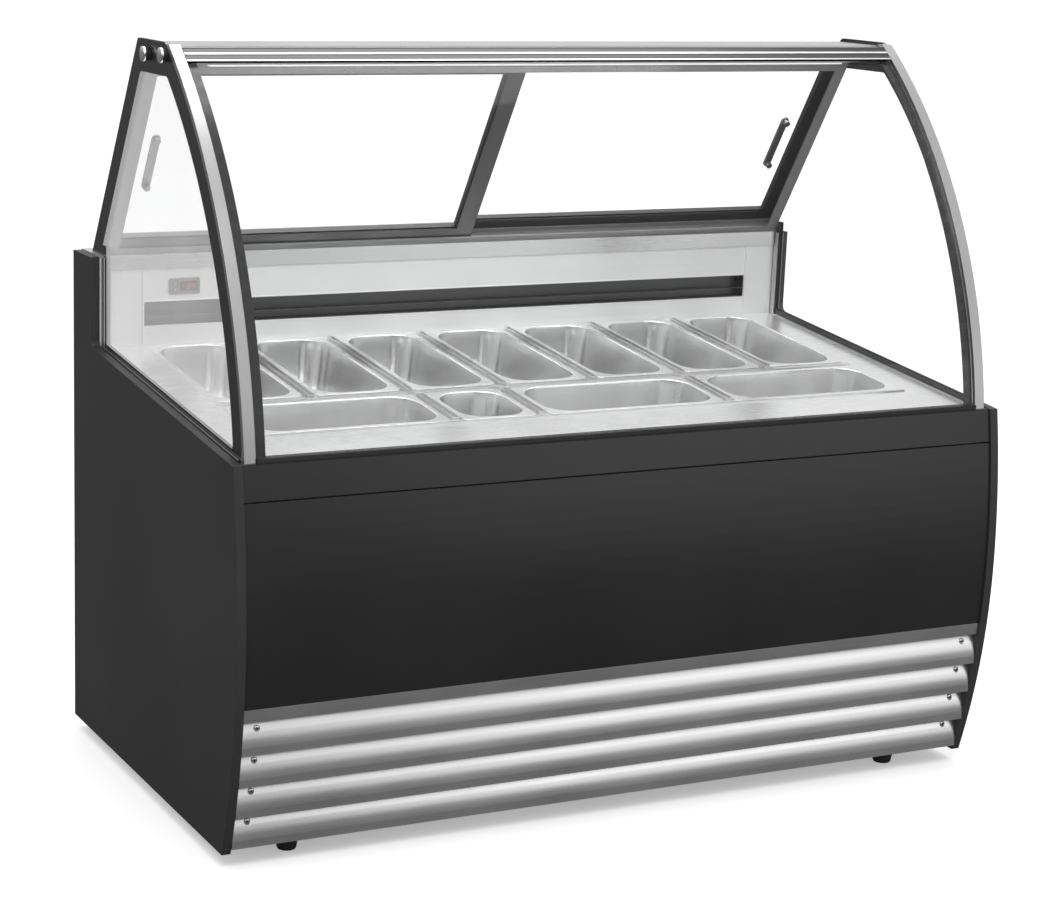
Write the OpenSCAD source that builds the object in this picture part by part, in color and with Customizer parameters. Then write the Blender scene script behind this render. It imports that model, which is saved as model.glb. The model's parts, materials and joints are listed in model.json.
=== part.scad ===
// Ice cream dipping cabinet: refrigerated well with two rows of pans under a curved glass canopy.
// Millimetres. X runs along the counter, the customer side faces -Y, Z is up from the floor.

/* [Cabinet] */
// overall width over the two side panels
body_w = 1500; // [1480:10:1540]
// overall depth, front bulge of the side panels to their back edge
body_d = 840; // [836:2:850]
// thickness of each side panel
side_t = 16; // [12:1:18]
// height of the cabinet underside above the floor
foot_h = 25; // [22:1:30]
// height of the front edge below the glass
front_z = 690; // [686:1:694]
// height of the side panel where it meets the rear column
notch_z = 760; // [756:1:764]
// height of the rear column
column_z = 924; // [918:1:926]
// height of the widest point of the front bulge
bulge_z = 400; // [380:5:420]

/* [Canopy] */
// outer radius of the curved front
glass_r = 960; // [958:1:962]
// thickness of every end and front glass pane
glass_t = 6; // [4:1:6]
// top of the canopy above the floor
canopy_z = 1328; // [1326:1:1330]
// width of the black border along the curved edge of an end pane
border_w = 37; // [25:1:45]
// width of the black border along each side of the curved front pane
front_border_w = 19; // [10:1:30]
// lean of the rear doors from the vertical
door_lean = 31.7; // [31.5:0.1:31.9]

/* [Pans] */
// length of a pan over its rim
pan_l = 360; // [350:1:362]
// width of a pan over its rim
pan_w = 165; // [155:1:166]
// depth of a pan, top of the rim to its underside
pan_h = 120; // [80:5:125]
// width of the pan rim
rim_w = 10; // [9:0.5:12]
// thickness of the pan sheet
pan_t = 1.2; // [0.8:0.1:1.5]
// inside corner radius of a pan
pan_r = 46; // [30:1:60]
// width of the small dipper well over its rim
dipper_w = 144; // [136:1:144]
// clear gap between neighbouring pan rims
pan_gap = 23.5; // [23:0.5:25]

/* [Kick plate] */
// number of horizontal slats across the kick plate
slat_n = 4; // [2:1:4]
// height of one slat
slat_h = 58; // [54:1:58]

/* [Machine compartment] */
// outside radius of the compressor shell
comp_r = 92; // [70:1:100]
// radius of the condenser fan
fan_r = 135; // [100:1:140]
// number of condenser fan blades
fan_n = 5; // [3:1:7]

/* [Hidden] */
$fn = 96;
sheet_t = 1.5;

// cabinet: inner face of the side panels, and half widths of what fits between them
bulge_y = -body_d/2;
back_y = body_d/2;
inner_x = body_w/2 - side_t;
fitted_x = inner_x - 0.1;
panel_x = inner_x - 0.5;
notch_y = back_y - 104;  // front face of the rear column
slope = atan((notch_z - front_z)/(notch_y - (bulge_y + 26)));  // of the deck, from level
base_top = foot_h + 30 + sheet_t;
foot_x = 612;
foot_y = [-310, 393];
stud_r = 5;
drain = [520, 250];
tank_z = 470;  // underside of the tank
tank_back = 415;

// front skin
skin_inset = 4;
fascia_bottom = 631;
lower_z = [288.5, 628.5];
kick_top = 288;
slats_top = 266;
rear_panel_y = [415.1, 415.1 + sheet_t];

// canopy: centre of the curve, then half widths and edges
arc_y = 568.5;
arc_z = 570.5;
glass_x = inner_x - 7;    // outer face of an end pane
front_x = glass_x - 21;   // end of the front pane
edge_depth = 10;
front_outer = glass_r - 2;
front_inner = front_outer - glass_t;
film_t = 0.3;             // black border
border_top = 1299.8;
glass_bottom = front_z + 8.3;
door_top_y = 130;
beam_top = canopy_z - 6.5;
beam_bottom = canopy_z - 38;
hinge_y = -14.4;
hinge_z = beam_top - 9;
beam_x = glass_x - glass_t - 0.3;
beam_front = hinge_y + 14;
beam_back = door_top_y - 6;
beam_t = 3;
bolts = [[77, 1303.4], [-10, 1306.7]];  // y, z

// deck coordinates: x, y up the slope (0 at the column), z square to the slope
deck_top = -3;
deck_under = deck_top - sheet_t;
rear_n = 7;
rear_pitch = pan_w + pan_gap;
rear_row = -10;                   // upper edge of each row
front_row = rear_row - pan_l - 24;
half_row = (rear_n*pan_w + (rear_n - 1)*pan_gap)/2;
pan_lap = 8;                      // deck opening inside the outline of the rows
front_gap = (2*half_row - 3*pan_l - dipper_w)/3;
dipper_left = -half_row + pan_l + front_gap;
front_rail_x = [dipper_left - front_gap/2, dipper_left + dipper_w + front_gap/2,
  half_row - pan_l - front_gap/2];

// inner back wall
outlet_x = 648;
outlet_z = [794, 838];
controller = [-571, notch_y, 865];
controller_half = [27, 12];       // body behind the wall, x and z
button_z = 5.5;                   // either side of the controller centre

// door coordinates: x, y square to the doors, z along them (0 at the canopy top)
frame_x = glass_x - glass_t - 0.35;
jamb_t = 3.4;
door_x = frame_x - 4;
track_y = [-50, -4];
fins = [[-50, -47.5], [-28.5, -25.5], [-6.5, -4]];  // y ranges of the track fins
left_door_y = -46.5;
right_door_y = -24.5;
stile = 20;
rebate = 6;
door_open_z = [-409, -48];
pane_z = [door_open_z[0] - rebate, door_open_z[1] + rebate];
pane_y = [1, 6];                  // from the front of the door
handle_x = 666;
handle_z = -246;

fan_centre = [366, 330, 232];
shroud_top = 390;

// y of the side panels' front outline: a shallow bulge that tucks in towards the floor
function front_at(z) = bulge_y + (z > bulge_z ? 0.00031 : 0.00041)*(z - bulge_z)*(z - bulge_z);
// height at y of a plane parallel to the deck, rise above the side panel edge
function deck_z(y, rise) = notch_z + (y - notch_y)*tan(slope) + rise/cos(slope);
function slat_z(i) = slats_top - i*slat_h;
function slat_y(i) = front_at(slat_z(i) - 40) + 2;

// extrude a (Y,Z) outline along X
module along_x(x0, x1) { translate([x0, 0, 0]) rotate([90, 0, 90]) linear_extrude(x1 - x0) children(); }
module box(a, b) { translate(a) cube(b - a); }
// box centred on x = 0; y and z are ranges
module wide_box(half, y, z) { box([-half, y[0], z[0]], [half, y[1], z[1]]); }
module both() { children(); mirror([1, 0, 0]) children(); }
module on_deck() { translate([0, notch_y, notch_z]) rotate([slope, 0, 0]) children(); }
module on_door() { translate([0, door_top_y, canopy_z]) rotate([door_lean, 0, 0]) children(); }
module rounded_rect(w, l, r) {
  union() {
    square([w - 2*r, l], center = true);
    square([w, l - 2*r], center = true);
    for (sx = [-1, 1], sy = [-1, 1]) translate([sx*(w/2 - r), sy*(l/2 - r)]) circle(r);
  }
}

// --- Cabinet shell ---

module at_feet(z) { for (sx = [-1, 1], y = foot_y) translate([sx*foot_x, y, z]) children(); }
module base_frame() {
  base_y = [-331, 413];
  post = 40;
  post_t = 3;
  color("dimgray") {
    difference() {
      wide_box(fitted_x, base_y, [foot_h, foot_h + 30]);
      for (x = [-680, -220, 240]) box([x, -289, foot_h - 1], [x + 440, 373, foot_h + 31]);
      at_feet(foot_h - 1) cylinder(r = stud_r + 0.05, h = 32);
    }
    difference() {
      wide_box(fitted_x, base_y, [foot_h + 30, base_top]);
      translate([drain.x, drain.y, foot_h + 20]) cylinder(r = 13.5, h = 20);
      at_feet(foot_h + 20) cylinder(r = stud_r + 0.05, h = 20);
    }
    // hollow corner posts
    both() for (y = [-330, 373]) translate([655, y, 0]) difference() {
      box([0, 0, base_top], [post, post, tank_z]);
      box([post_t, post_t, base_top - 0.5], [post - post_t, post - post_t, tank_z + 1]);
    }
  }
}

module side_outline() {
  steps = 26;
  corner_steps = 6;
  corner_r = 14;
  corner_y = notch_y - corner_r;
  corner_z = notch_z - corner_r*tan(slope) + corner_r/cos(slope);
  polygon(concat([[back_y, foot_h]],
    [for (i = [0:steps]) let(z = foot_h + (front_z - foot_h)*i/steps) [front_at(z), z]],
    // hollow corner where the sloping edge turns up the column
    [for (i = [0:corner_steps]) let(a = -90 + slope + i/corner_steps*(90 - slope))
      [corner_y + corner_r*cos(a), corner_z + corner_r*sin(a)]],
    [[notch_y, column_z], [back_y, column_z]]));
}
module left_side_panel() { color("#2b2b2b") along_x(-body_w/2, -inner_x) side_outline(); }
module right_side_panel() { color("#2b2b2b") along_x(inner_x, body_w/2) side_outline(); }

// full-width strip that follows the front outline from z0 to z1, d0 to d1 behind it
module front_strip(z0, z1, d0, d1) {
  steps = 14;
  along_x(-panel_x, panel_x) polygon(concat(
    [for (i = [0:steps]) let(z = z0 + (z1 - z0)*i/steps) [front_at(z) + d0, z]],
    [for (i = [steps:-1:0]) let(z = z0 + (z1 - z0)*i/steps) [front_at(z) + d1, z]]));
}
// level flange behind the front skin, y0 to y1 behind the outline at outline_z
module front_flange(outline_z, y0, y1, z) {
  wide_box(panel_x, [front_at(outline_z) + y0, front_at(outline_z) + y1], [z, z + sheet_t]);
}
module upper_fascia() {
  top = front_z - sheet_t;
  color("#161616") {
    front_strip(fascia_bottom, top, skin_inset, skin_inset + sheet_t);
    wide_box(panel_x, [front_at(top) + skin_inset, -372], [top, front_z]);
    front_flange(fascia_bottom, 4.8, 19, fascia_bottom);
  }
}
module lower_front_panel() {
  color("#161616") {
    front_strip(lower_z[0], lower_z[1], skin_inset, skin_inset + sheet_t);
    front_flange(lower_z[1], 4.6, 19, lower_z[1] - sheet_t);
    front_flange(lower_z[0], 4.6, 25, lower_z[0]);
  }
}

// one screw near each end of every slat, axis along Y, back mm behind the slat face
module at_slat_screws(back) {
  both() for (i = [0:slat_n - 1]) translate([706, slat_y(i) + back, slat_z(i) - 13]) children();
}
module slat_screw_holes() { at_slat_screws(60) rotate([90, 0, 0]) cylinder(r = 3, h = 80); }
module kick_plate() {
  color("silver") difference() {
    union() {
      front_strip(slats_top, kick_top, skin_inset, skin_inset + 2);
      front_flange(slats_top, 5, 31, slats_top);
      front_strip(foot_h + 6, slats_top + 0.5, 29, 31);
    }
    slat_screw_holes();
  }
}
// (Y,Z) section of a slat: upright face, rounded back towards the top
module slat_section(y, z) {
  round_r = 90;
  round_h = 44;
  depth = 60;
  bottom = z - slat_h;
  behind = 28.4;
  intersection() {
    union() {
      intersection() {
        translate([y + round_r, z - round_h]) circle(round_r, $fn = 180);
        translate([y, z - round_h]) square([depth, depth]);
      }
      translate([y, bottom]) square([depth, slat_h - round_h]);
    }
    polygon([[y - 5, bottom + 0.3], [front_at(bottom) + behind, bottom + 0.3],
      [front_at(z) + behind, z - 0.3], [y - 5, z - 0.3]]);
  }
}
module kick_slats() {
  color("silver") difference() {
    for (i = [0:slat_n - 1]) along_x(-inner_x + 0.4, inner_x - 0.4) slat_section(slat_y(i), slat_z(i));
    slat_screw_holes();
    at_slat_screws(7) rotate([90, 0, 0]) cylinder(r = 5.6, h = 20);
  }
}
// domed head towards -Y, seat at the origin
module screw(shank) {
  rotate([90, 0, 0]) rotate_extrude() union() {
    intersection() { translate([0, -4.2]) circle(7); square([5.5, 2.8]); }
    translate([0, -shank]) square([2.4, shank]);
  }
}
module at_rear_screws(y) { both() for (z = [60, 470, 890]) translate([722, y, z]) children(); }
module panel_screws() {
  color("silver") {
    at_slat_screws(7) screw(22);
    at_rear_screws(rear_panel_y[1]) rotate([0, 0, 180]) screw(1.2);
  }
}
module rear_panel() {
  color("#3a3a3a") difference() {
    wide_box(panel_x, rear_panel_y, [foot_h + 4, column_z - 1]);
    // two columns of slots
    for (row = [0:9], x = [160, 375]) box([x, 414, 90 + row*30], [x + 190, 418, 104 + row*30]);
    at_rear_screws(420) rotate([90, 0, 0]) cylinder(r = 2.5, h = 10);
  }
}
module column_cap() {
  lip_x = glass_x - 11.5;
  top = column_z + 2;
  color("lightgray") {
    wide_box(fitted_x, [notch_y, 419.6], [column_z, top]);
    wide_box(lip_x, [notch_y - 4, notch_y - 2.5], [column_z - 26, top]);
    wide_box(lip_x, [notch_y - 4, notch_y + 1], [top - sheet_t, top]);
  }
}

// --- Well, deck and pans ---

module insulated_tank() {
  front = -384;
  step_y = notch_y + 2;
  well_x = 676;
  well_y = [-334, 370];
  well_back = notch_y + 1;  // edge of the overhang above the well
  color("gainsboro") difference() {
    along_x(-fitted_x, fitted_x) polygon([[front, tank_z], [tank_back, tank_z], [tank_back, column_z],
      [step_y, column_z], [step_y, deck_z(step_y, deck_under)], [front, deck_z(front, deck_under)]]);
    along_x(-well_x, well_x) polygon([[well_y[0], 520], [well_y[1], 520], [well_y[1], column_z + 5],
      [well_back, column_z + 5], [well_back, deck_z(well_back, 0)], [well_back, 900], [well_y[0], 900]]);
    // rebates for the glass channels
    both() on_deck() box([glass_x - 10.5, -730, -13.5], [glass_x + 20, 0.5, 40]);
    translate([drain.x, drain.y, 400]) cylinder(r = 11.05, h = 150);
  }
}
module pan_deck() {
  color("lightgray") on_deck() difference() {
    wide_box(glass_x - 10.6, [-686, -1], [deck_under, deck_top]);
    wide_box(half_row - pan_lap, [front_row - pan_w + pan_lap, rear_row - pan_lap],
      [deck_top - 5, deck_top + 5]);
  }
}

// flat strap from start to end, with a grooved rib whose round nose is at tip
module rail(x, start, end, tip) {
  rib_half = 6.5;
  groove_half = 4.3;
  rib_top = deck_top + 5;
  nose_base = tip < start ? deck_top + 0.1 : deck_under;
  translate([x, 0, 0]) {
    wide_box(20, [start, end], [deck_under, deck_top]);
    difference() {
      union() {
        wide_box(rib_half, [max(tip, start), end], [deck_under, rib_top]);
        wide_box(rib_half, [tip, end], [deck_top + 0.1, rib_top]);
        translate([0, tip, nose_base]) cylinder(r = rib_half, h = rib_top - nose_base);
      }
      wide_box(groove_half, [tip, end - 3], [deck_top + 1, deck_top + 6]);
      translate([0, tip, deck_top + 1]) cylinder(r = groove_half, h = 6);
    }
  }
}
module pan_rails() {
  front_end = front_row - pan_w;
  ledge_z = [deck_top, deck_top + 2];
  color("silver") on_deck() {
    // crossbar between the two rows
    wide_box(half_row - 8, [front_row - 8.8, front_row + 32.8], [deck_under, deck_top]);
    wide_box(half_row - 6, [front_row + 6, front_row + 18], [deck_top - 8, deck_under]);
    wide_box(half_row + 2, [front_row + 7.5, front_row + 16.5], ledge_z);
    // ledge in front of the front row
    wide_box(half_row + 2, [front_end - 7, front_end - 2.5], ledge_z);
    for (i = [0:rear_n - 2])
      rail(-half_row + pan_w + pan_gap/2 + i*rear_pitch, front_row + 32.9, rear_row - pan_lap, front_row + 24);
    for (x = front_rail_x) rail(x, front_end + pan_lap, front_row - 8.9, front_end + 15);
  }
}

module pan(w, l) {
  inner_w = w - 2*rim_w;
  inner_l = l - 2*rim_w;
  floor_z = -pan_h + sheet_t;
  color("silver") translate([0, 0, deck_top]) difference() {
    union() {
      linear_extrude(sheet_t) rounded_rect(w, l, 14);
      translate([0, 0, floor_z]) linear_extrude(pan_h - sheet_t)
        rounded_rect(inner_w + 2*pan_t, inner_l + 2*pan_t, pan_r + pan_t);
    }
    translate([0, 0, floor_z + pan_t]) linear_extrude(pan_h + 5) rounded_rect(inner_w, inner_l, pan_r);
  }
}
module rear_pan(i) {
  on_deck() translate([-half_row + pan_w/2 + i*rear_pitch, rear_row - pan_l/2, 0]) pan(pan_w, pan_l);
}
module front_pan(left, w = pan_l) {
  on_deck() translate([left + w/2, front_row - pan_w/2, 0]) pan(w, pan_w);
}
module rear_pan_1() { rear_pan(0); }
module rear_pan_2() { rear_pan(1); }
module rear_pan_3() { rear_pan(2); }
module rear_pan_4() { rear_pan(3); }
module rear_pan_5() { rear_pan(4); }
module rear_pan_6() { rear_pan(5); }
module rear_pan_7() { rear_pan(6); }
module front_pan_1() { front_pan(-half_row); }
module front_pan_2() { front_pan(half_row - 2*pan_l - front_gap); }
module front_pan_3() { front_pan(half_row - pan_l); }
module dipper_well() { front_pan(dipper_left, dipper_w); }

// --- Inner back wall ---

module inner_back_wall() {
  trim_x = outlet_x + 1;
  trim_y = [notch_y - 1.5, notch_y];
  slot = controller_half + [0.2, 0.2];
  color("lightgray") difference() {
    union() {
      wide_box(glass_x - 11, [notch_y, notch_y + 1], [notch_z - 4.2, column_z]);
      both() box([trim_x, notch_y - 2.5, notch_z + 3], [trim_x + 3, notch_y, column_z - 26]);
      for (z = [outlet_z[1], outlet_z[0] - 2]) wide_box(trim_x, trim_y, [z, z + 2]);
    }
    wide_box(outlet_x, [notch_y - 2, notch_y + 4], outlet_z);
    translate(controller) box([-slot.x, -2, -slot.y], [slot.x, 4, slot.y]);
  }
}
// open-fronted tray with one level blade
module air_outlet() {
  half = outlet_x - 0.1;
  y = [notch_y - 1, notch_y + 26];
  bottom = outlet_z[0] + 0.1;
  top = outlet_z[1] - 0.1;
  color("#444444") {
    for (z = [[top - sheet_t, top], [bottom, bottom + sheet_t], [811, 812.6]]) wide_box(half, y, z);
    both() box([half - sheet_t, y[0], bottom], [half, y[1], top]);
    wide_box(half, [y[1] - sheet_t, y[1]], [bottom, top]);
  }
}

module controller_body() {
  half = controller_half;
  color("#4a4a4a") translate(controller) difference() {
    union() {
      box([-30, -3, -15], [30, 0, 15]);
      box([-half.x, 0, -half.y], [half.x, 40, half.y]);
    }
    box([-9, -4, -9], [25, -2, 9]);
    for (z = [button_z, -button_z]) box([-22.2, -4, z - 3.2], [-14.8, 2, z + 3.2]);
  }
}
module controller_display() {
  color("#3a1414") translate(controller) box([-8.9, -2.8, -8.9], [24.9, -2, 8.9]);
}
module button(z) { color("#666666") translate(controller) box([-22, -3.8, z - 3], [-15, 0.5, z + 3]); }
module controller_up_button() { button(button_z); }
module controller_down_button() { button(-button_z); }

// --- Canopy glass ---

module arc_disc(r) { translate([arc_y, arc_z]) circle(r, $fn = 360); }
module arc_ring(r0, r1) { difference() { arc_disc(r1); arc_disc(r0); } }
// front part of the ring between two heights
module arc_band(r0, r1, z0, z1) {
  right = arc_y - 400;
  intersection() {
    arc_ring(r0, r1);
    polygon([[-600, z0], [right, z0], [right, z1], [-600, z1]]);
  }
}
// outline of an end pane: curved front, short flat top, leaning back edge, stepped over the column
module end_outline(inset, front_inset) {
  front = -371.5 + inset;
  step_y = notch_y - 3.5 - inset;
  step_z = column_z + 2.5 + inset;
  foot_rise = -9 + inset*1.2;
  top_inset = inset*3.1;
  top = canopy_z - top_inset;
  lean = tan(door_lean);
  intersection() {
    arc_disc(glass_r - edge_depth - front_inset);
    polygon([[-400, 700], [front, 690.2], [front, deck_z(front, foot_rise)],
      [step_y, deck_z(step_y, foot_rise)], [step_y, step_z],
      [door_top_y + (canopy_z - step_z)*lean - top_inset, step_z],
      [door_top_y + top_inset*(lean - 1), top], [-80, top], [-480, top], [-480, 700]]);
  }
}
module at_bolts(x) {
  both() for (bolt = bolts) translate([x, bolt[0], bolt[1]]) rotate([0, 90, 0]) children();
}
module bolt_holes(r) { at_bolts(glass_x - 19.4) cylinder(r = r, h = 40); }
module end_glass(x) {
  color("lightblue", 0.35) difference() {
    along_x(x, x + glass_t) end_outline(0, 0);
    bolt_holes(5.5);
  }
}
module left_end_glass() { end_glass(-glass_x); }
module right_end_glass() { end_glass(glass_x - glass_t); }
module end_glass_borders() {
  color("#151515") both() difference() {
    along_x(glass_x - glass_t - film_t, glass_x - glass_t) difference() {
      end_outline(0, 0);
      end_outline(14, border_w);
    }
    bolt_holes(5.5);
  }
}
module edge_profiles() {
  top = canopy_z - 3;
  color("silver") both() along_x(glass_x - 20, glass_x) intersection() {
    arc_ring(glass_r - edge_depth, glass_r);
    polygon([[-500, front_z], [0, front_z], [60, top], [-500, top]]);
  }
}
// strip along the foot of an end pane, from low to high about the deck line, and w wide up the column
module channel_strip(low, high, w) {
  front = -365;
  back = notch_y - 0.02;
  polygon([[front, deck_z(front, low)], [back, deck_z(back, low)], [back, column_z],
    [back - w, column_z], [back - w, deck_z(back - w, high)], [front, deck_z(front, high)]]);
}
module glass_channels() {
  color("silver") both() {
    along_x(glass_x - 10, glass_x + 4) channel_strip(-13, -10, 3);
    along_x(glass_x + 1, glass_x + 4) channel_strip(-13, 1, 14);
    along_x(glass_x - 10, glass_x - 7) channel_strip(-13, -1, 14);
  }
}
module front_glass() {
  color("lightblue", 0.35) along_x(-front_x, front_x)
    arc_band(front_inner, front_outer, glass_bottom, hinge_z - 3.5);
}
module front_glass_border() {
  side_x = front_x - front_border_w;
  color("#151515") {
    both() along_x(side_x, front_x)
      arc_band(front_inner - film_t, front_inner, glass_bottom, border_top);
    along_x(-side_x, side_x) arc_band(front_inner - film_t, front_inner, 1296, border_top);
  }
}
module front_glass_hinge_rail() {
  color("#9a9a9a") along_x(-front_x, front_x) {
    difference() {
      intersection() {
        arc_ring(glass_r - 12, glass_r);
        // upper edge points at the hinge
        polygon([[-90, 1300], [4, 1300], [hinge_y, hinge_z], [hinge_y - 40, hinge_z + 20.5], [-90, 1340]]);
        translate([-200, 1200]) square([300, beam_top - 1200]);
      }
      translate([hinge_y, hinge_z]) circle(8.3);
      // slot for the pane
      arc_band(front_inner - 0.05, front_outer + 0.05, 1290, hinge_z - 3.4);
      // two shallow grooves in the outer face
      arc_band(glass_r - 0.8, glass_r + 1, 1302.6, 1310.2);
      arc_band(glass_r - 0.8, glass_r + 1, 1313.4, beam_top - 1.2);
    }
    // hinge pin and its web
    translate([hinge_y, hinge_z]) circle(4.5);
    translate([hinge_y, hinge_z]) rotate(192) translate([3, -1.5]) square([9, 3]);
  }
}

// (Y,Z) section of the hinge socket, open towards the front
module hinge_socket() {
  socket_r = 7.6;
  reach = 30;
  translate([hinge_y, hinge_z]) difference() {
    union() {
      circle(socket_r);
      translate([0, -socket_r]) square([beam_front - hinge_y, 2*socket_r]);
    }
    circle(4.55);
    polygon([[0, 0], reach*[cos(108), sin(108)], [-40, 0], reach*[cos(216), sin(216)]]);
  }
}
module top_beam() {
  depth = beam_back - beam_front;
  height = beam_top - beam_bottom;
  block_half = 8.5;
  color("#b5b5b5") difference() {
    union() {
      along_x(-front_x, front_x) hinge_socket();
      // hollow box with the flat top
      along_x(-beam_x, beam_x) translate([beam_front, beam_bottom]) difference() {
        square([depth, height]);
        translate([beam_t, beam_t]) square([depth - 2*beam_t, height - 2*beam_t]);
      }
      // end blocks that take the glass bolts
      both() {
        box([glass_x - 34, bolts[0][0] - block_half, beam_bottom + 2],
          [beam_x, bolts[0][0] + block_half, beam_top - 2]);
        box([glass_x - 19.9, bolts[1][0] - block_half, bolts[1][1] - block_half],
          [beam_x, 4, bolts[1][1] + block_half]);
      }
    }
    bolt_holes(5.05);
  }
}
// slim lamp under the front edge of the beam
module light_tube() {
  color("white") along_x(-640, 640) union() {
    translate([10, beam_bottom - 3.6]) square([13, 3.6]);
    translate([8.2, beam_bottom - 1.8]) intersection() {
      translate([1.8, 0]) circle(1.8);
      square([4, 4], center = true);
    }
  }
}
module glass_bolts() {
  color("silver") at_bolts(glass_x) {
    translate([0, 0, 7]) cylinder(r = 13, h = 5);
    cylinder(r = 11, h = 7);
    translate([0, 0, -19]) cylinder(r = 5, h = 19);
  }
}

// --- Rear doors ---

// full-width track block with its fins
module track(z, fin_z) {
  wide_box(frame_x, track_y, z);
  for (fin = fins) wide_box(frame_x - jamb_t, fin, fin_z);
}
module door_frame() {
  color("#8a8a8a") {
    difference() {
      on_door() track([-480, -436], [-437, -428]);
      wide_box(800, [200, 500], [column_z - 80, column_z + 2]);
    }
    difference() {
      on_door() track([-30, 40], [-42, -29]);
      wide_box(800, [-100, beam_back + 0.05], [beam_bottom - 0.05, 1500]);
      wide_box(800, [-100, 300], [beam_top, 1500]);
    }
    // jambs with a lip at each face
    on_door() both() {
      box([frame_x - jamb_t, track_y[0], -436], [frame_x, track_y[1], -30]);
      for (fin = [fins[0], fins[2]]) box([frame_x - 22, fin[0], -428], [frame_x, fin[1], -42]);
    }
  }
}
// frame from x0 to x1 with a rebate for the pane; stile widths at the two ends
module door_rails(x0, x1, y, stile0, stile1) {
  color("#6e6e6e") on_door() difference() {
    box([x0, y, -435], [x1, y + 17, -36]);
    box([x0 + stile0, y - 1, door_open_z[0]], [x1 - stile1, y + 18, door_open_z[1]]);
    box([x0 + stile0 - rebate, y + pane_y[0] - 0.05, pane_z[0]],
      [x1 - stile1 + rebate, y + pane_y[1] + 0.05, pane_z[1]]);
  }
}
module door_glass(x0, x1, y) {
  color("lightblue", 0.35) on_door() box([x0, y + pane_y[0], pane_z[0]], [x1, y + pane_y[1], pane_z[1]]);
}
// flat bar on two bosses, standing off the back of the pane
module door_handle(x, y, standoff) {
  bar_t = 3.5;
  boss_z = 52;
  color("#9a9a9a") on_door() translate([x, y + pane_y[1], handle_z]) {
    for (z = [-boss_z, boss_z]) translate([0, 0, z]) rotate([-90, 0, 0]) cylinder(r = 6, h = standoff - bar_t);
    translate([0, standoff - bar_t, 0]) rotate([-90, 0, 0]) linear_extrude(bar_t) union() {
      square([16, 2*boss_z], center = true);
      for (v = [-boss_z, boss_z]) translate([0, v]) circle(8);
    }
  }
}
module left_door_rails() { door_rails(-door_x, 18, left_door_y, stile, 36); }
module right_door_rails() { door_rails(-2, door_x, right_door_y, stile, stile); }
module left_door_glass() { door_glass(-door_x + stile - rebate, -12, left_door_y); }
module right_door_glass() { door_glass(12, door_x - stile + rebate, right_door_y); }
module left_door_handle() { door_handle(-handle_x, left_door_y, 12); }
module right_door_handle() { door_handle(handle_x, right_door_y, 14); }

module front_gasket() { color("#202020") wide_box(front_x, [-388, -369], [front_z, front_z + 8]); }

// --- Machine compartment ---

module compressor() {
  mount_h = 14;
  plate_top = mount_h + 4;
  shell_h = 140;
  mounts = [for (x = [-120, 120], y = [-110, 110]) [x, y, 0]];
  color("#202020") translate([20, 190, base_top]) {
    difference() {
      box([-140, -130, mount_h], [140, 130, plate_top]);
      for (mount = mounts) translate(mount) translate([0, 0, -6]) cylinder(r = 6, h = 60);
    }
    // shell with a foot ring and a domed top
    translate([0, 0, plate_top]) rotate_extrude() union() {
      square([comp_r, shell_h]);
      square([comp_r + 5, 8]);
      intersection() {
        translate([0, shell_h - 96]) circle(comp_r*1.45);
        translate([0, shell_h]) square([comp_r, 60]);
      }
    }
    for (mount = mounts) translate(mount) cylinder(r = 13, h = mount_h);
    // round boss on the front of the shell
    translate([0, -comp_r - 16, 108.5]) rotate([-90, 0, 0]) cylinder(r = 22, h = 30);
  }
}
// tube along +X
module coil_tube(at, length) { translate(at) rotate([0, 90, 0]) cylinder(r = 4.8, h = length); }
module condenser_coil() {
  color("#8c6f4e") {
    for (i = [0:29]) box([176 + i*13, 372, foot_h + 42], [176.8 + i*13, 404, 385]);
    for (x = [168, 562]) box([x, 368, base_top], [x + 2, 408, shroud_top]);
    for (i = [0:6]) coil_tube([168, 388, foot_h + 70 + i*42], 396);
  }
}
module condenser_fan() {
  hub_r = 34;
  color("#5a5a5a") translate(fan_centre) {
    // hub, hollowed from the front around a centre boss
    rotate([90, 0, 0]) translate([0, 0, -11]) difference() {
      cylinder(r = hub_r, h = 22);
      translate([0, 0, 4]) difference() {
        cylinder(r = hub_r - 4, h = 30);
        cylinder(r = 9, h = 30);
      }
    }
    rotate([90, 0, 0]) cylinder(r = 4, h = 60);
    for (k = [0:fan_n - 1]) rotate([0, k*360/fan_n, 0]) translate([0, 0, 30])
      rotate([0, 0, 28]) translate([-27, -0.8, 0]) cube([54, 1.6, fan_r - 36]);
  }
}
module fan_shroud() {
  wall = 3;
  color("#2e2e2e") {
    difference() {
      box([170, 300, base_top], [562, 366, shroud_top]);
      box([170 + wall, 300 + wall, base_top + wall], [562 - wall, 367, shroud_top - wall]);
      translate(fan_centre) rotate([90, 0, 0]) cylinder(r = fan_r + 6, h = 60);
    }
    // motor body on three arms, bored for the shaft
    translate(fan_centre) difference() {
      union() {
        translate([0, -24, 0]) rotate([90, 0, 0]) cylinder(r = 36, h = 44);
        for (k = [0:2]) rotate([0, k*120, 0]) box([-5, -33, 34], [5, -30, fan_r + 12]);
      }
      rotate([90, 0, 0]) cylinder(r = 4.05, h = 62);
    }
  }
}
module evaporator_coil() {
  color("#b0b7bb") {
    for (i = [0:39]) box([-500 + i*25, 328, 560], [-499.2 + i*25, 362, 740]);
    for (x = [-508, 490]) box([x, 326, 556], [x + 2, 366, 744]);
    for (i = [0:5], y = [336, 354]) coil_tube([-512, y, 574 + i*30], 1008);
  }
}
module drain_pipe() {
  color("#d8d8d8") translate([drain.x, drain.y, 8]) difference() {
    union() {
      cylinder(r = 12.5, h = 17);
      cylinder(r = 11, h = 512);
      translate([0, 0, 448]) cylinder(r = 18, h = 13.95);
    }
    translate([0, 0, -1]) cylinder(r = 9.5, h = 520);
  }
}
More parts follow.
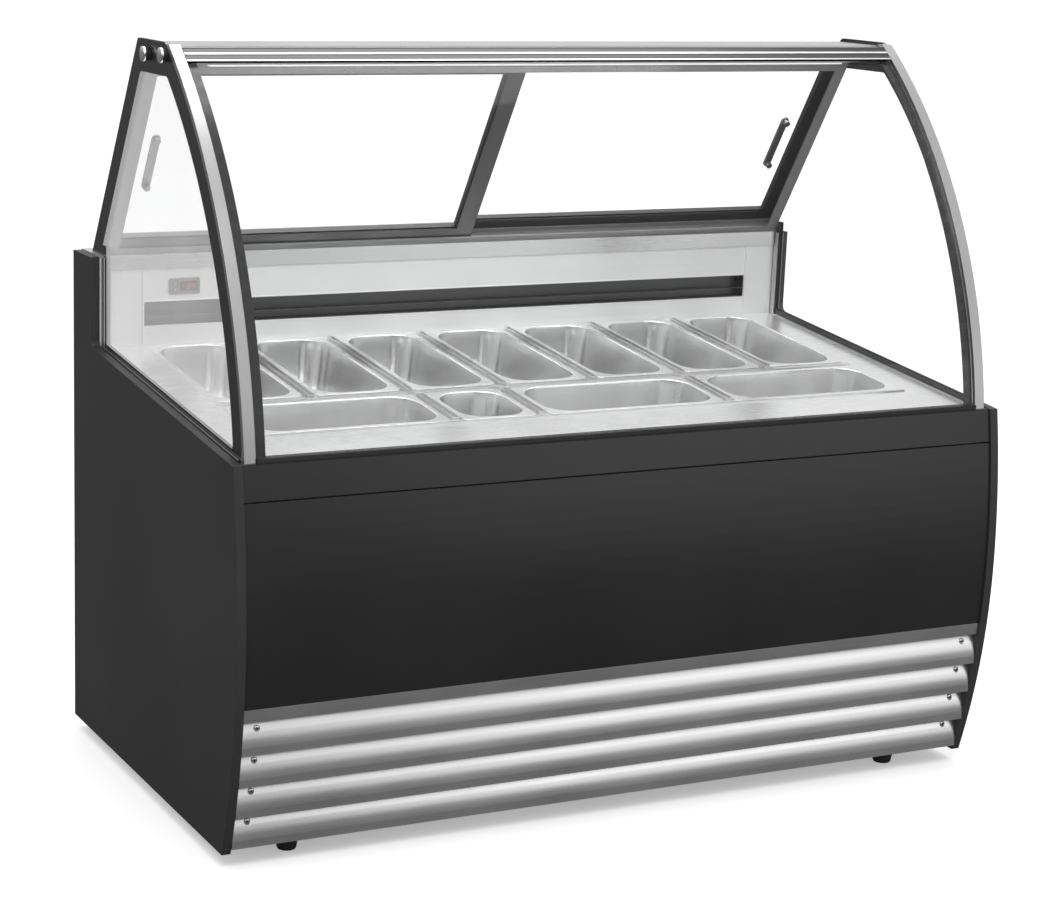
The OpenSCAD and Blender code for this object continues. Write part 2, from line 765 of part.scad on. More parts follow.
module foot(x, y) {
  color("#151515") translate([x, y, 0]) {
    rotate_extrude() polygon([[0, 0], [16, 0], [17, 3], [20, foot_h - 6], [20, foot_h], [0, foot_h]]);
    translate([0, 0, foot_h]) cylinder(r = stud_r, h = 31);
  }
}
module foot_front_left() { foot(-foot_x, foot_y[0]); }
module foot_front_right() { foot(foot_x, foot_y[0]); }
module foot_rear_left() { foot(-foot_x, foot_y[1]); }
module foot_rear_right() { foot(foot_x, foot_y[1]); }

base_frame();
left_side_panel();
right_side_panel();
upper_fascia();
lower_front_panel();
kick_plate();
kick_slats();
panel_screws();
rear_panel();
column_cap();
insulated_tank();
pan_deck();
pan_rails();
rear_pan_1();
rear_pan_2();
rear_pan_3();
rear_pan_4();
rear_pan_5();
rear_pan_6();
rear_pan_7();
front_pan_1();
front_pan_2();
front_pan_3();
dipper_well();
inner_back_wall();
air_outlet();
controller_body();
controller_display();
controller_up_button();
controller_down_button();
left_end_glass();
right_end_glass();
end_glass_borders();
edge_profiles();
glass_channels();
front_glass();
front_glass_border();
front_glass_hinge_rail();
top_beam();
light_tube();
glass_bolts();
door_frame();
left_door_glass();
left_door_rails();
left_door_handle();
right_door_glass();
right_door_rails();
right_door_handle();
front_gasket();
compressor();
condenser_coil();
condenser_fan();
fan_shroud();
evaporator_coil();
drain_pipe();
foot_front_left();
foot_front_right();
foot_rear_left();
foot_rear_right();
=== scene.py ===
"""Refrigerated cabinet with pans under glass.

X runs left to right, the front faces -Y and the feet stand on z = 0. The scene is in metres;
piece sizes are written in millimetres and scaled by MM.
"""
import bmesh
import bpy
import json
import math
from mathutils import Matrix, Vector

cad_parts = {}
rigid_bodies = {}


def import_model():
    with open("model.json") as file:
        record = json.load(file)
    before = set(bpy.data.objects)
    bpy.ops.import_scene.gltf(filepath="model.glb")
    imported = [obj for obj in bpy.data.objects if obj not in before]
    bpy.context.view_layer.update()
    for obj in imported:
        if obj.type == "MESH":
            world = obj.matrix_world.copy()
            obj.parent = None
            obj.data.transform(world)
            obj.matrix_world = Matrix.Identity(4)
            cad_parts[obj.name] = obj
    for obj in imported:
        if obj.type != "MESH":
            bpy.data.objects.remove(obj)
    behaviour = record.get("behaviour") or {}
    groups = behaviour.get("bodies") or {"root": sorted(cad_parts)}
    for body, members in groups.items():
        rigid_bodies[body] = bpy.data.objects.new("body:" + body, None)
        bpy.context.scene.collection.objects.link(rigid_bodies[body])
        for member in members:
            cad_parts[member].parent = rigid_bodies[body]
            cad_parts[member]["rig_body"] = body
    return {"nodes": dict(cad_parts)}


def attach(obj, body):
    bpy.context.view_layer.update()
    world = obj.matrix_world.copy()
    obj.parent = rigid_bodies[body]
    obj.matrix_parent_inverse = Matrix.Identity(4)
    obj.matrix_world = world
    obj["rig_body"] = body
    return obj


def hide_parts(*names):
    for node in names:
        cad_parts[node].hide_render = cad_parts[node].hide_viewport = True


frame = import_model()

NODES = frame["nodes"]
BODY = {name: node["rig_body"] for name, node in NODES.items()}
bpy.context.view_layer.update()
scene = bpy.context.scene
scene.view_settings.view_transform = "Standard"
scene.view_settings.look = "None"

# ---------------------------------------------------------------- driving dimensions, mm
MM = 0.001
DECK_Y, DECK_Z = 316, 760               # rear edge of the sloping pan deck
DECK_SLOPE = math.atan(70 / 710)        # deck falls towards the front
DOOR_Y, DOOR_Z = 130, 1328              # top edge of the leaning rear doors
DOOR_LEAN = math.radians(31.7)
DOOR_RUN = math.tan(DOOR_LEAN)          # how far the doors move back per unit of drop
PANE_X, PANE_THICKNESS = 727, 6         # outer faces of the end panes
ARC_Y, ARC_Z, ARC_RADIUS = 568.5, 570.5, 950    # curved front edge of the end panes


def shift(x, y, z):
    """Translation by millimetres."""
    return Matrix.Translation((x * MM, y * MM, z * MM))


def front_y(z):
    """Y of the curved lower front at height z."""
    return -420 + 0.00041 * (z - 400) ** 2


def deck_height(y, offset):
    """Height at y of a line lying offset above the deck, square to it."""
    return DECK_Z + (y - DECK_Y) * math.tan(DECK_SLOPE) + offset / math.cos(DECK_SLOPE)


def arc_y(radius, z):
    return ARC_Y - math.sqrt(radius * radius - (z - ARC_Z) ** 2)


DECK = shift(0, DECK_Y, DECK_Z) @ Matrix.Rotation(DECK_SLOPE, 4, "X")
DOOR = shift(0, DOOR_Y, DOOR_Z) @ Matrix.Rotation(DOOR_LEAN, 4, "X")
# outlines drawn as (Y, Z), thickness along +X
YZ = Matrix(((0, 0, 1, 0), (1, 0, 0, 0), (0, 1, 0, 0), (0, 0, 0, 1)))
# outlines drawn as (X, Z), thickness towards the front
XZ = Matrix(((1, 0, 0, 0), (0, 0, -1, 0), (0, 1, 0, 0), (0, 0, 0, 1)))


# ---------------------------------------------------------------- shader node helpers
MATERIALS = {}
MID_NOISE = (0.3, 0.7)      # the part of a noise's range that carries its contrast


class NodeGraph:
    """The shader nodes of a material or world, with short calls."""

    def __init__(self, owner, output="OutputMaterial"):
        owner.use_nodes = True
        self.tree = owner.node_tree
        self.tree.nodes.clear()
        self.output = self.node(output)

    def node(self, kind, inputs=None, **settings):
        node = self.tree.nodes.new("ShaderNode" + kind)
        for key, value in settings.items():
            setattr(node, key, value)
        for socket, value in (inputs or {}).items():
            self.put(node.inputs[socket], value)
        return node

    def put(self, socket, value):
        """Link a socket or a node's first output, or set a plain value."""
        if isinstance(value, bpy.types.Node):
            value = value.outputs[0]
        if isinstance(value, bpy.types.NodeSocket):
            self.tree.links.new(value, socket)
        else:
            socket.default_value = value

    def finish(self, shader):
        self.put(self.output.inputs[0], shader)

    def noise(self, stretch, detail, roughness=0.55):
        """Noise in object space, stretch giving its frequency along X, Y and Z."""
        place = self.node("Mapping", {
            "Vector": self.node("TexCoord").outputs["Object"], "Scale": stretch})
        return self.node("TexNoise", {
            "Vector": place, "Scale": 1.0, "Detail": detail,
            "Roughness": roughness}).outputs["Fac"]

    def spread(self, value, low=0.0, high=1.0, source=MID_NOISE):
        """Map the source range of a value to low..high."""
        return self.node("MapRange", {
            "Value": value, "From Min": source[0], "From Max": source[1],
            "To Min": low, "To Max": high}).outputs["Result"]

    def math(self, operation, first, second):
        return self.node("Math", {0: first, 1: second}, operation=operation).outputs[0]

    def mix(self, factor, first, second):
        return self.node("Mix", {0: factor, 6: first, 7: second}, data_type="RGBA").outputs[2]

    def mix_shader(self, factor, first, second):
        return self.node("MixShader", {0: factor, 1: first, 2: second})

    def bump(self, height, strength, distance, bevel=0.0):
        inputs = {"Strength": strength, "Distance": distance, "Height": height}
        if bevel:
            inputs["Normal"] = self.node("Bevel", {"Radius": bevel}, samples=4)
        return self.node("Bump", inputs)


def new_material(name):
    MATERIALS[name] = bpy.data.materials.new("m_" + name)
    return NodeGraph(MATERIALS[name])


def rgba(colour, scale=1.0):
    """A grey or an RGB triple as an opaque colour."""
    if isinstance(colour, (int, float)):
        colour = (colour,) * 3
    return tuple(channel * scale for channel in colour) + (1.0,)


# ---------------------------------------------------------------- material families
# noise frequency along X, Y, Z: brushed along one axis, or even in all of them
GRAIN = {
    "x": (1.6, 420, 420), "y": (420, 1.6, 420), "z": (420, 420, 1.6),
    "matt": (900, 900, 900), "fine": (1400, 1400, 1400), "pan": (260, 260, 9),
}


def metal(name, colour, roughness=0.3, grain="x", tone=0.12, bump=0.10, bevel=0.0006,
          metallic=1.0, cloud=0.06, dirt=0.0):
    """tone: contrast of the grain; cloud: broad lighter patches; dirt: strength of dark spots."""
    g = new_material(name)
    fine = g.noise(GRAIN[grain], detail=5.0, roughness=0.7)
    soft = g.noise((5, 5, 5), detail=3.0)
    base = g.mix(g.spread(fine), rgba(colour, 1 - tone), rgba(colour, 1 + tone * 0.6))
    base = g.mix(g.spread(soft), base, rgba(colour, 1 + cloud))
    if dirt:
        spots = g.noise((38, 38, 38), detail=8.0, roughness=0.75)
        spots = g.spread(spots, high=dirt, source=(0.62, 0.72))
        base = g.mix(spots, base, rgba(colour, 0.55))
    grain_gloss = g.spread(fine, low=roughness * 0.90, high=roughness * 1.12,
                           source=(0.25, 0.75))
    g.finish(g.node("BsdfPrincipled", {
        "Base Color": base,
        "Metallic": metallic,
        "Roughness": g.math("ADD", grain_gloss, g.spread(soft, low=-0.02, high=0.03)),
        "Normal": g.bump(fine, strength=bump, distance=0.0003, bevel=bevel)}))


def paint(name, colour, roughness=0.42, peel=0.08, bevel=0.0008, wear=0.0, specular=0.5,
          coat=0.0, grain=GRAIN["matt"], cloud=0.25):
    """peel: strength of the surface ripple; cloud: broad tone change; wear: pale scuffs."""
    g = new_material(name)
    fine = g.noise(grain, detail=3.0)
    soft = g.noise((2.2, 2.2, 2.2), detail=4.0)
    base = g.mix(g.spread(soft), rgba(colour, 1 - cloud * 0.5), rgba(colour, 1 + cloud))
    if wear:
        scuffs = g.noise((140, 24, 90), detail=9.0, roughness=0.8)
        scuffs = g.spread(scuffs, high=wear, source=(0.66, 0.74))
        base = g.mix(scuffs, base, rgba(0.18))
    ripple_gloss = g.spread(fine, low=roughness * 0.92, high=roughness * 1.08)
    g.finish(g.node("BsdfPrincipled", {
        "Base Color": base,
        "Roughness": g.math("ADD", ripple_gloss, g.spread(soft, low=-0.03, high=0.03)),
        "Specular IOR Level": specular,
        "Coat Weight": coat,
        "Coat Roughness": 0.12,
        "Normal": g.bump(fine, strength=peel, distance=0.0002, bevel=bevel)}))


def clear_glass(name, tint, veil, painted_glow=0.0):
    """Clear glass whose mirror part (veil) grows at a shallow angle, with a painted white glow,
    an emission standing in for reflected light, that grows there too.
    """
    g = new_material(name)
    smear = g.noise((3, 7, 3), detail=5.0)
    facing = g.node("LayerWeight", {"Blend": 0.5}).outputs["Facing"]
    mirror = g.math("MULTIPLY", g.math("POWER", facing, 5.0), 0.9)
    mirror = g.math("ADD", mirror, 0.035)
    mirror = g.math("MULTIPLY", mirror, g.spread(smear, low=0.85 * veil, high=1.15 * veil))
    through = g.node("BsdfTransparent", {"Color": rgba(tint)})
    gloss = g.node("BsdfGlossy", {
        "Color": rgba(1), "Roughness": g.spread(smear, low=0.015, high=0.05)})
    shader = g.mix_shader(mirror, through, gloss)
    if painted_glow:
        # painted glow: a white emission over the glass at a shallow angle, standing in for
        # reflected light
        white = g.node("Emission", {"Color": rgba(1), "Strength": 0.92})
        amount = g.math("MULTIPLY", g.math("POWER", facing, 3.0),
                        g.spread(smear, low=0.9 * painted_glow, high=1.1 * painted_glow))
        shader = g.mix_shader(amount, shader, white)
    g.finish(shader)


def hinge_rail():
    """Anodised rail: dark brushed in its two grooves, bright on the ribs between them."""
    grooves = ((1.3022, 1.3104), (1.3132, 1.3206))     # bottom and top of each, m
    g = new_material("hinge_rail")
    fine = g.noise(GRAIN["x"], detail=5.0, roughness=0.7)
    z = g.node("SeparateXYZ", {0: g.node("TexCoord").outputs["Object"]}).outputs["Z"]
    inside = g.math("ADD", *[
        g.math("MULTIPLY", g.math("GREATER_THAN", z, low), g.math("LESS_THAN", z, high))
        for low, high in grooves])
    dark = g.mix(g.spread(fine), rgba(0.075), rgba(0.12))
    g.finish(g.node("BsdfPrincipled", {
        "Base Color": g.mix(inside, rgba(0.86), dark),
        "Metallic": 1.0,
        "Roughness": g.spread(fine, low=0.24, high=0.38, source=(0.25, 0.75)),
        "Normal": g.bump(fine, strength=0.12, distance=0.0003, bevel=0.0006)}))


def glass_edge():
    """Greenish, half see-through cut edge of the end panes."""
    g = new_material("glass_edge")
    cloud = g.noise((40, 40, 40), detail=3.0)
    green = g.mix(g.spread(cloud), rgba((0.42, 0.52, 0.48)), rgba((0.55, 0.64, 0.60)))
    body = g.node("BsdfPrincipled", {"Base Color": green, "Roughness": 0.25})
    g.finish(g.mix_shader(0.55, g.node("BsdfTransparent"), body))


def glow(name, colour, strength):
    g = new_material(name)
    speckle = g.noise((400, 400, 400), detail=2.0)
    g.finish(g.node("BsdfPrincipled", {
        "Base Color": g.mix(g.spread(speckle), rgba(colour, 0.8), rgba(colour)),
        "Roughness": 0.3,
        "Emission Color": rgba(colour),
        "Emission Strength": strength}))


def floor_material():
    """Pale matt floor, lifted a little for the camera only."""
    g = new_material("floor")
    cloud = g.noise((0.6, 0.6, 0.6), detail=3.0)
    matt = g.node("BsdfPrincipled", {
        "Base Color": g.mix(g.spread(cloud), rgba(0.90), rgba(0.92)),
        "Roughness": 0.7,
        "Specular IOR Level": 0.2})
    to_camera = g.node("LightPath").outputs["Is Camera Ray"]
    lift = g.node("Emission", {"Strength": g.math("MULTIPLY", to_camera, 0.36)})
    g.finish(g.node("AddShader", {0: matt, 1: lift}))


# ---------------------------------------------------------------- materials
paint("side_paint", 0.024, roughness=0.46, peel=0.06, wear=0.03, specular=0.40)
paint("front_paint", 0.011, roughness=0.32, peel=0.035)
metal("slat", 0.80, tone=0.05, bump=0.030)
metal("strip", 0.66, roughness=0.40, bump=0.08)
metal("stainless", 0.80, roughness=0.28, tone=0.06, bump=0.04)
metal("beam", 0.58, roughness=0.36, tone=0.05, bump=0.02)
metal("deck", 0.84, roughness=0.27, tone=0.05, bump=0.015, metallic=0.85)
metal("deck_rail", 0.72, roughness=0.22, grain="y", tone=0.06, bump=0.02, bevel=0.0008)
metal("rear_wall", 0.86, roughness=0.40, tone=0.05, bump=0.03, metallic=0.65)
metal("duct", 0.11, roughness=0.34, tone=0.18, bump=0.12)
metal("pan", 0.86, roughness=0.19, grain="pan", tone=0.03, bump=0.004, bevel=0.0, cloud=0.03)
# brighter, less metallic copy of the pan steel for the rolled rim: a painted highlight line
metal("pan_rim", 0.97, roughness=0.14, grain="fine", tone=0.02, bump=0.002, bevel=0.0,
      metallic=0.7, cloud=0.02)
metal("bright_aluminium", 0.52, roughness=0.32, grain="matt", tone=0.05, bump=0.02,
      bevel=0.0012)
metal("door_rail", 0.085, roughness=0.34, tone=0.25, bump=0.06)
metal("track", 0.24, roughness=0.38, grain="z", tone=0.20, bump=0.05, metallic=0.5)
hinge_rail()
metal("chrome", 0.86, roughness=0.09, grain="fine", tone=0.03, bump=0.01, bevel=0.0008)
metal("screw", 0.78, roughness=0.26, grain="fine", tone=0.06, bump=0.03, bevel=0.0003)
metal("handle", 0.27, roughness=0.38, grain="matt", tone=0.08, bump=0.03, bevel=0.0009)
metal("frame_steel", 0.33, roughness=0.48, grain="fine", bump=0.06, metallic=0.7, dirt=0.3)
metal("coil", (0.62, 0.50, 0.38), roughness=0.4, grain="z", tone=0.15, dirt=0.2)
metal("fin", 0.62, roughness=0.4, grain="z", tone=0.15, dirt=0.15)
paint("black_print", 0.016, roughness=0.20, peel=0.01, bevel=0.0, cloud=0.1)
paint("liner", 0.80, roughness=0.38, peel=0.03, specular=0.4, cloud=0.04)
paint("controller", (0.150, 0.140, 0.130), peel=0.10)
paint("window", (0.030, 0.010, 0.010), roughness=0.12, peel=0.0, bevel=0.0, coat=0.6)
paint("rubber", 0.022, roughness=0.62, peel=0.25, grain=(14, 700, 700), specular=0.3)
paint("machine_black", 0.022, roughness=0.26, peel=0.03, coat=0.3, wear=0.05)
paint("fan", 0.055, roughness=0.5, peel=0.1)
paint("pipe", 0.78, peel=0.05, cloud=0.06)
paint("foot", 0.018, roughness=0.55, peel=0.2, specular=0.3)
# near-black matt standing in for the dark of hollows and gaps: painted shade
paint("recess_painted_shade", 0.010, roughness=0.8, peel=0.05, bevel=0.0, specular=0.1)
clear_glass("glass", tint=(0.9965, 0.998, 0.9975), veil=0.22)
# the left end pane takes a painted white glow at a shallow angle
clear_glass("glass_end", tint=(0.994, 0.996, 0.995), veil=0.35, painted_glow=0.62)
clear_glass("glass_front", tint=(0.994, 0.998, 0.996), veil=0.30)
glass_edge()
glow("digit", (0.55, 0.06, 0.05), strength=0.25)
glow("tube", (0.95, 0.95, 0.93), strength=0.5)

# material of each CAD node; those not listed are pan steel
NODE_MATERIALS = {
    "base_frame": "frame_steel", "left_side_panel": "side_paint",
    "right_side_panel": "side_paint", "rear_panel": "side_paint",
    "upper_fascia": "front_paint", "lower_front_panel": "front_paint",
    "kick_plate": "strip", "kick_slats": "slat", "panel_screws": "screw",
    "column_cap": "stainless", "insulated_tank": "liner", "pan_deck": "deck",
    "pan_rails": "deck_rail", "inner_back_wall": "rear_wall", "air_outlet": "duct",
    "controller_body": "controller", "controller_display": "window",
    "controller_up_button": "controller", "controller_down_button": "controller",
    "left_end_glass": "glass_end", "right_end_glass": "glass",
    "end_glass_borders": "black_print", "edge_profiles": "bright_aluminium",
    "glass_channels": "bright_aluminium", "front_glass": "glass_front",
    "front_glass_border": "black_print", "front_glass_hinge_rail": "hinge_rail",
    "top_beam": "beam", "light_tube": "tube", "glass_bolts": "chrome", "door_frame": "track",
    "left_door_glass": "glass", "left_door_rails": "door_rail", "left_door_handle": "handle",
    "right_door_glass": "glass", "right_door_rails": "door_rail",
    "right_door_handle": "handle", "front_gasket": "rubber", "compressor": "machine_black",
    "condenser_coil": "coil", "condenser_fan": "fan", "fan_shroud": "frame_steel",
    "evaporator_coil": "fin", "drain_pipe": "pipe", "foot_front_left": "foot",
    "foot_front_right": "foot", "foot_rear_left": "foot", "foot_rear_right": "foot",
}
for name, node in NODES.items():
    node.data.materials.clear()
    node.data.materials.append(MATERIALS[NODE_MATERIALS.get(name, "pan")])


# ---------------------------------------------------------------- outline helpers, mm
def rounded_rect(width, height, radius, steps, x=0.0, y=0.0):
    points = []
    for sign_x, sign_y, start in ((1, 1, 0), (-1, 1, 90), (-1, -1, 180), (1, -1, 270)):
        for i in range(steps + 1):
            angle = math.radians(start + 90 * i / steps)
            points.append((x + sign_x * (width / 2 - radius) + radius * math.cos(angle),
                           y + sign_y * (height / 2 - radius) + radius * math.sin(angle)))
    return points


def circle(radius, steps, x=0.0, y=0.0):
    angles = [2 * math.pi * i / steps for i in range(steps)]
    return [(x + radius * math.cos(a), y + radius * math.sin(a)) for a in angles]


def round_corners(corners, steps=8):
    """A closed outline from (x, y, corner radius) entries."""
    points = [corner[:2] for corner in corners]
    outline = []
    for i, (x, y, radius) in enumerate(corners):
        if radius <= 0:
            outline.append((x, y))
            continue
        corner = Vector((x, y))
        before = Vector(points[i - 1]) - corner
        after = Vector(points[(i + 1) % len(points)]) - corner
        to_before, to_after = before.normalized(), after.normalized()
        half = to_before.angle(to_after) / 2
        reach = min(radius / math.tan(half), before.length * 0.49, after.length * 0.49)
        radius = reach * math.tan(half)
        centre = corner + (to_before + to_after).normalized() * (radius / math.sin(half))
        start = corner + to_before * reach - centre
        end = corner + to_after * reach - centre
        first = math.atan2(start.y, start.x)
        turn = (math.atan2(end.y, end.x) - first + math.pi) % (2 * math.pi) - math.pi
        for j in range(steps + 1):
            angle = first + turn * j / steps
            outline.append((centre.x + radius * math.cos(angle),
                            centre.y + radius * math.sin(angle)))
    return outline


# ---------------------------------------------------------------- mesh helpers
def add_object(name, data):
    new = bpy.data.objects.new(name, data)
    scene.collection.objects.link(new)
    return new


def dress(mesh, materials, sharp=30):
    """Give a mesh its materials and smooth shading up to the sharp angle in degrees."""
    mesh.materials.clear()
    for material in materials:
        mesh.materials.append(MATERIALS[material])
    mesh.shade_smooth()
    mesh.set_sharp_from_angle(angle=math.radians(sharp))


def weld(mesh):
    """Merge coincident points and turn the faces outwards."""
    bm = bmesh.new()
    bm.from_mesh(mesh)
    bmesh.ops.remove_doubles(bm, verts=bm.verts, dist=1e-7)
    bmesh.ops.recalc_face_normals(bm, faces=bm.faces)
    bm.to_mesh(mesh)
    bm.free()


def register(piece, body, replaces):
    """Tell the frame which body the piece rides on, and hide the CAD node it stands in for."""
    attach(piece, body)
    if replaces:
        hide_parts(replaces)


def solid(name, verts, faces, materials, face_materials, base, body, replaces, sharp=30):
    """A welded mesh object; verts in metres in the base's frame."""
    mesh = bpy.data.meshes.new(name)
    mesh.from_pydata(verts, [], faces)
    mesh.transform(base)
    mesh.validate()
    piece = add_object(name, mesh)
    dress(mesh, materials, sharp)
    mesh.polygons.foreach_set("material_index", face_materials)
    weld(mesh)
    # welding changes which faces meet, so the sharp edges are found again
    mesh.set_sharp_from_angle(angle=math.radians(sharp))
    register(piece, body, replaces)
    return piece


def plate(name, loops, thickness, base, material, body="cabinet", edge=0.0, replaces=None,
          side_material=None):
    """A flat plate with holes: closed outlines in mm, raised from 0 to thickness along the
    base's z, with bevelled edges of width edge."""
    curve = bpy.data.curves.new(name, "CURVE")
    curve.dimensions = "2D"
    curve.fill_mode = "BOTH"
    curve.extrude = thickness * MM / 2
    for loop in loops:
        spline = curve.splines.new("POLY")
        spline.points.add(len(loop) - 1)
        for point, (x, y) in zip(spline.points, loop):
            point.co = (x * MM, y * MM, 0, 1)
        spline.use_cyclic_u = True
    drawn = add_object(name + "_c", curve)
    bpy.context.view_layer.update()
    depsgraph = bpy.context.evaluated_depsgraph_get()
    mesh = bpy.data.meshes.new_from_object(drawn.evaluated_get(depsgraph))
    bpy.data.objects.remove(drawn)
    mesh.name = name
    mesh.transform(base @ shift(0, 0, thickness / 2))
    piece = add_object(name, mesh)
    weld(mesh)
    dress(mesh, [material])
    if side_material:
        across = (base.to_3x3() @ Vector((0, 0, 1))).normalized()
        mesh.materials.append(MATERIALS[side_material])
        for face in mesh.polygons:
            if abs(face.normal.dot(across)) < 0.5:
                face.material_index = 1
    if edge:
        bevel = piece.modifiers.new("edge", "BEVEL")
        bevel.width = edge * MM
        bevel.segments = 2
        bevel.limit_method = "ANGLE"
        bevel.angle_limit = math.radians(35)
        bevel.harden_normals = True
    register(piece, body, replaces)
    return piece


def lathe(name, profile, base, materials, body="cabinet", segments=48, replaces=None,
          bands=None):
    """Turn (radius, height) points in mm about the base's z.
    bands: material index of each profile segment."""
    verts, faces, face_materials = [], [], []
    for radius, height in profile:
        verts += [(x * MM, y * MM, height * MM) for x, y in circle(radius, segments)]
    for j in range(len(profile) - 1):
        for i in range(segments):
            a = j * segments + i
            b = j * segments + (i + 1) % segments
            faces.append((a, b, b + segments, a + segments))
            face_materials.append(bands[j] if bands else 0)
    return solid(name, verts, faces, materials, face_materials, base, body, replaces)


def join(parts, name, replaces, body="cabinet"):
    """Several pieces as one mesh, their modifiers applied."""
    materials, verts, faces, face_materials = [], [], [], []
    bpy.context.view_layer.update()
    for part in parts:
        depsgraph = bpy.context.evaluated_depsgraph_get()
        mesh = bpy.data.meshes.new_from_object(part.evaluated_get(depsgraph))
        first = len(verts)
        verts += [tuple(part.matrix_world @ vert.co) for vert in mesh.vertices]
        indices = []
        for material in part.data.materials:
            key = material.name.removeprefix("m_")
            if key not in materials:
                materials.append(key)
            indices.append(materials.index(key))
        for face in mesh.polygons:
            faces.append(tuple(first + i for i in face.vertices))
            face_materials.append(indices[face.material_index])
        bpy.data.meshes.remove(mesh)
    for part in parts:
        bpy.data.objects.remove(part)
    mesh = bpy.data.meshes.new(name)
    mesh.from_pydata(verts, [], faces)
    piece = add_object(name, mesh)
    dress(mesh, materials, sharp=32)
    mesh.polygons.foreach_set("material_index", face_materials)
    register(piece, body, replaces)


# ---------------------------------------------------------------- pans with a rolled rim
PAN_TOP, PAN_BOTTOM = -1.5, -121.5      # measured square to the deck
PAN_SHEET = 1.2
PAN_FILLET = 24.0                       # inside, between wall and floor
PAN_TAPER = 8.0                         # inward lean of the wall over its height
PAN_LIP = 10.0                          # inset of the wall's top from the rim's outside
PAN_WALL_START = -3.6                   # height where the wall leaves the rim
PAN_CORNER = 46.0                       # plan corner radius at the wall's top
PAN_CORNER_STEPS = 12
# rim section from the inside over the roll, then back underneath: inset, height, corner radius
PAN_RIM = [
    (9.95, -2.5, 46.0), (9.5, -1.75, 46.3), (8.7, -1.28, 46.9), (7.6, -1.12, 47.6),
    (6.5, -1.28, 48.0), (5.6, -1.62, 36.0), (4.4, -1.70, 26.0), (2.4, -1.55, 16.0),
    (1.2, -1.5, 13.4), (0.5, -1.62, 13.6), (0.1, -1.95, 14.0), (0.02, -2.4, 14.0),
    (0.2, -2.85, 14.0), (0.8, -2.98, 13.4), (7.9, -2.98, 47.6),
]


def pan_wall(outset, floor):
    """Wall and floor fillet, outset from the inside face: inset, height, corner radius."""
    fillet = PAN_FILLET + outset
    wall_end = floor + fillet
    lean = PAN_TAPER / (PAN_TOP - wall_end)
    points = []
    for k in range(6):
        height = PAN_WALL_START + (wall_end - PAN_WALL_START) * k / 5
        points.append((PAN_LIP - outset + lean * (PAN_TOP - height), height))
    wall_inset = points[-1][0]
    for k in range(1, 9):
        angle = math.radians(90 * k / 8)
        points.append((wall_inset + fillet * (1 - math.cos(angle)),
                       wall_end - fillet * math.sin(angle)))
    # the corner radius changes faster outside the lip than inside it
    return [(inset, height,
             PAN_CORNER - (0.72 if inset > PAN_LIP else 0.8) * (inset - PAN_LIP))
            for inset, height in points]


def pan(node, x, y, width, length):
    """A pan centred on (x, y) in the deck's plane."""
    section = pan_wall(0.0, PAN_BOTTOM + PAN_SHEET)[::-1]
    section += PAN_RIM
    section += pan_wall(PAN_SHEET, PAN_BOTTOM)
    verts = []
    for inset, height, radius in section:
        ring_width, ring_length = width - 2 * inset, length - 2 * inset
        radius = min(radius, ring_width / 2 - 0.5, ring_length / 2 - 0.5)
        ring = rounded_rect(ring_width, ring_length, radius, PAN_CORNER_STEPS)
        verts += [((x + ring_x) * MM, (y + ring_y) * MM, height * MM)
                  for ring_x, ring_y in ring]
    count = 4 * (PAN_CORNER_STEPS + 1)
    faces, looks = [], []
    for i, (upper, lower) in enumerate(zip(section, section[1:])):
        # 0 pan steel, 1 rolled rim in a brighter copy of the steel (a painted highlight line), 2
        # flat outer lip
        look = 0 if upper[0] > 9.97 or lower[0] > 9.6 else 1 if lower[0] > 7.0 else 2
        a, b = i * count, (i + 1) * count
        for j in range(count):
            after = (j + 1) % count
            faces.append((a + j, a + after, b + after, b + j))
            looks.append(look)
    faces.append(tuple(range(count))[::-1])
    faces.append(tuple(range(len(verts) - count, len(verts))))
    looks += [0, 0]
    solid(f"drawn_{node}", verts, faces, ["pan", "pan_rim", "deck"], looks, DECK, BODY[node],
          node, sharp=50)


PAN_SHORT, PAN_LONG = 165, 360
REAR_PAN_PITCH, REAR_PAN_Y, FRONT_PAN_Y = 188.5, -190, -476.5
for i in range(7):
    pan(f"rear_pan_{i + 1}", REAR_PAN_PITCH * (i - 3), REAR_PAN_Y, PAN_SHORT, PAN_LONG)
for i, x in enumerate((-468, 84, 468)):
    pan(f"front_pan_{i + 1}", x, FRONT_PAN_Y, PAN_LONG, PAN_SHORT)
pan("dipper_well", -192, FRONT_PAN_Y, 144, PAN_SHORT)


# ---------------------------------------------------------------- end panes and their prints
def arc_edge(radius, top, bottom):
    """41 unrounded corners down the front arc: y, z, corner radius."""
    heights = [top - (top - bottom) * i / 40 for i in range(41)]
    return [(arc_y(radius, z), z, 0) for z in heights]


def pane_outline():
    front, rear, step = -371.5, 312.5, 926.5    # lower front, lower rear, foot of the lean
    return round_corners([
        (arc_y(ARC_RADIUS, DOOR_Z), DOOR_Z, 10),
        *arc_edge(ARC_RADIUS, 1318, 712),
        (front, 700, 0),
        (front, deck_height(front, -9), 2),
        (rear, deck_height(rear, -9), 3),
        (rear, step, 0),
        (DOOR_Y + (DOOR_Z - step) * DOOR_RUN, step, 0),
        (DOOR_Y, DOOR_Z, 12)])


def print_opening():
    """Inside edge of the printed border."""
    top, bottom, rear, step = 1272, 712, 298.5, 946
    radius = ARC_RADIUS - 37
    front = arc_y(radius, bottom)

    def leaning_y(z):
        return DOOR_Y + (DOOR_Z - z) * DOOR_RUN - 48

    return round_corners([
        (arc_y(radius, top), top, 12),
        *arc_edge(radius, top - 14, 716),
        (front, deck_height(front, 8), 6),
        (rear, deck_height(rear, 8), 3),
        (rear, step, 0),
        (leaning_y(step), step, 0),
        (leaning_y(top), top, 12)])


